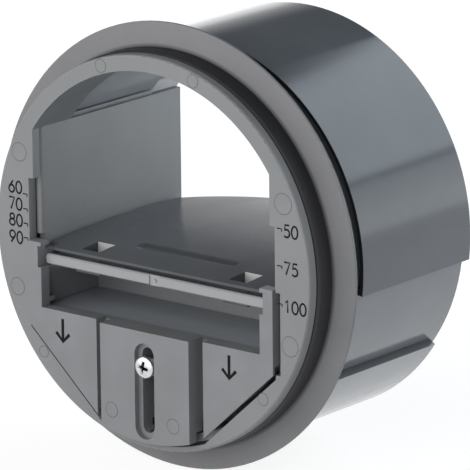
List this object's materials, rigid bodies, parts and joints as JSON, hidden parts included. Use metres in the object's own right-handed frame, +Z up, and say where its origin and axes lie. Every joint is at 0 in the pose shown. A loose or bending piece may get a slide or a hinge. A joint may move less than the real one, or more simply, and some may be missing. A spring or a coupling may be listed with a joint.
{
  "type": "constant airflow regulator",
  "caption": "Round push-in duct regulator with a lip seal, a hinged self-weighted flap in its mouth and a front slide, held by a clamp screw, that sets the airflow.",
  "frame": {"origin": "where the duct axis meets the face of the front plate", "axes": "+X to the right seen from the front, +Y along the duct to the rear, +Z up with the marked bottom side down"},
  "size_m": [0.1302, 0.0952, 0.1302],
  "materials": {
    "moulding": "satin",
    "slide": "satin",
    "blade": "satin",
    "seal": "satin",
    "zinc": "bright zinc plate",
    "steel": "drawn",
    "pad": "matt"
  },
  "bodies": {
    "housing": {"front_housing": "moulding", "lip_seal": "seal", "duct_sleeve": "moulding", "upper_shell": "moulding", "lower_shell": "moulding", "clamp_screw": "zinc"},
    "slide": {"adjusting_slide": "slide", "hinge_rod": "steel", "rest_pads": "pad"},
    "blade": {"regulating_blade": "blade", "blade_weights": "steel"}
  },
  "joints": [
    {"name": "slide_lift", "type": "slide", "parent": "housing", "child": "slide", "axis": [0, 0, 1], "range_m": [-0.0034, 0.0178]},
    {"name": "blade_swing", "type": "hinge", "parent": "slide", "child": "blade", "pos_m": [0, 0.0034, -0.0081], "axis": [1, 0, 0], "range_deg": [0, 18.5]}
  ]
}
